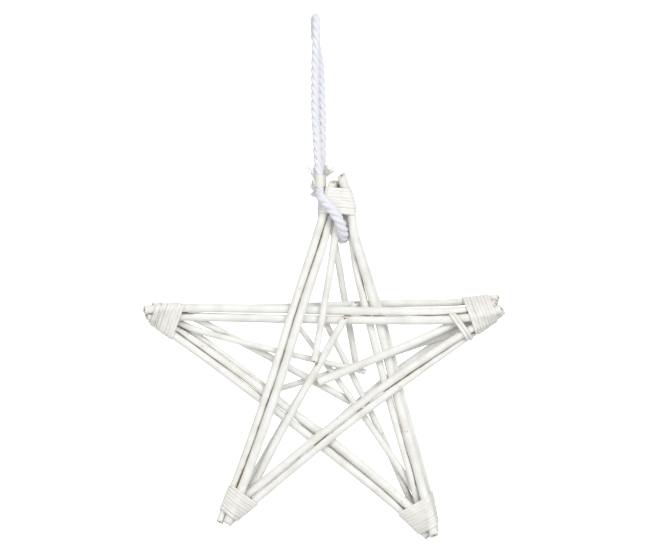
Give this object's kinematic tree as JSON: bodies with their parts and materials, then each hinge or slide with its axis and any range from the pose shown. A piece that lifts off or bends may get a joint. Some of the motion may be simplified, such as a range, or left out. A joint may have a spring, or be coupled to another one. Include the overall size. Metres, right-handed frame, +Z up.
{
  "type": "wicker star decoration",
  "caption": "Five-pointed star woven from whitewashed willow rods, bound at each tip with split willow, on a twisted cotton hanging loop.",
  "frame": {"origin": "inside of the hanging loop's crown, where a nail or hook bears", "axes": "+Z up along the hanging loop, +X to the viewer's right, the front faces -Y"},
  "size_m": [0.315, 0.0455, 0.4562],
  "materials": {
    "whitewashed_willow": "peeled willow rods brushed with thin matt white paint, brown bark and wood showing in the joins",
    "split_willow": "flat split willow strip, painted the same thin white",
    "cotton_cord": "soft twisted three-strand white cotton",
    "cream_tape": "matt cream woven tape"
  },
  "bodies": {
    "root": {"binding_left": "split_willow", "binding_lower_left": "split_willow", "binding_lower_right": "split_willow", "binding_right": "split_willow", "binding_top": "split_willow", "cord_band": "cream_tape", "hanging_cord": "cotton_cord", "rod_left_inner_lower": "whitewashed_willow", "rod_left_inner_upper": "whitewashed_willow", "rod_left_to_lower_right_back": "whitewashed_willow", "rod_left_to_lower_right_inner": "whitewashed_willow", "rod_left_to_lower_right_outer": "whitewashed_willow", "rod_left_to_right_back": "whitewashed_willow", "rod_left_to_right_lower": "whitewashed_willow", "rod_left_to_right_upper": "whitewashed_willow", "rod_lower_left_inner_back": "whitewashed_willow", "rod_lower_left_inner_front": "whitewashed_willow", "rod_lower_left_to_right_back": "whitewashed_willow", "rod_lower_left_to_right_lower": "whitewashed_willow", "rod_lower_left_to_right_upper": "whitewashed_willow", "rod_lower_right_inner_back": "whitewashed_willow", "rod_lower_right_inner_front": "whitewashed_willow", "rod_right_inner_back": "whitewashed_willow", "rod_right_inner_front": "whitewashed_willow", "rod_top_inner_back": "whitewashed_willow", "rod_top_inner_front": "whitewashed_willow", "rod_top_to_lower_left_back": "whitewashed_willow", "rod_top_to_lower_left_inner": "whitewashed_willow", "rod_top_to_lower_left_outer": "whitewashed_willow", "rod_top_to_lower_right_back": "whitewashed_willow", "rod_top_to_lower_right_inner": "whitewashed_willow", "rod_top_to_lower_right_outer": "whitewashed_willow"}
  },
  "joints": []
}
